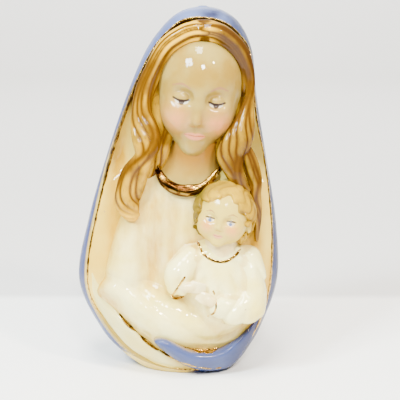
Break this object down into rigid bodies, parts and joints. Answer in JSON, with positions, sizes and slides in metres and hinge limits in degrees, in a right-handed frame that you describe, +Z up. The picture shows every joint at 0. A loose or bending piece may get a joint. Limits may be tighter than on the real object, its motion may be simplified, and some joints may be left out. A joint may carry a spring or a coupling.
{
  "type": "madonna and child figurine",
  "caption": "Teardrop-shaped glazed ceramic half figure of a veiled mother holding a child, hollow, with gold edge lines.",
  "frame": {"origin": "on the surface the foot stands on, under the middle of the outline's bounding box", "axes": "+Z up, -Y to the front where the figures look, +X to the figures' left"},
  "size_m": [0.073, 0.0534, 0.13],
  "materials": {
    "blue_glaze": "airbrushed blue under clear gloss glaze",
    "white_glaze": "ivory white under clear gloss glaze",
    "flesh_glaze": "ivory with painted features, gloss glaze",
    "hair_glaze": "amber wash, darker in the grooves, gloss glaze",
    "child_hair_glaze": "pale yellow wash, gloss glaze",
    "gold_lustre": "fired gold lustre, bright",
    "bare_clay": "unglazed fired clay"
  },
  "bodies": {
    "root": {"base_plate": "bare_clay", "child_collar_gold": "gold_lustre", "child_forearm_left": "white_glaze", "child_gown": "white_glaze", "child_hair": "child_hair_glaze", "child_hand_left": "flesh_glaze", "child_hand_right": "flesh_glaze", "child_head": "flesh_glaze", "child_neck": "flesh_glaze", "child_sleeve_left": "white_glaze", "child_sleeve_right": "white_glaze", "collar_gold": "gold_lustre", "cuff_gold_left": "gold_lustre", "cuff_gold_right": "gold_lustre", "foot_ring": "bare_clay", "hair_crown": "hair_glaze", "hair_lock_left": "hair_glaze", "hair_lock_right": "hair_glaze", "hem_gold": "gold_lustre", "madonna_head": "flesh_glaze", "madonna_neck": "flesh_glaze", "mantle_edge_gold": "gold_lustre", "mantle_fold_left": "blue_glaze", "mantle_fold_right": "white_glaze", "mantle_shell": "blue_glaze", "robe": "white_glaze", "robe_forearm": "white_glaze", "robe_upper_arm": "white_glaze"}
  },
  "joints": []
}
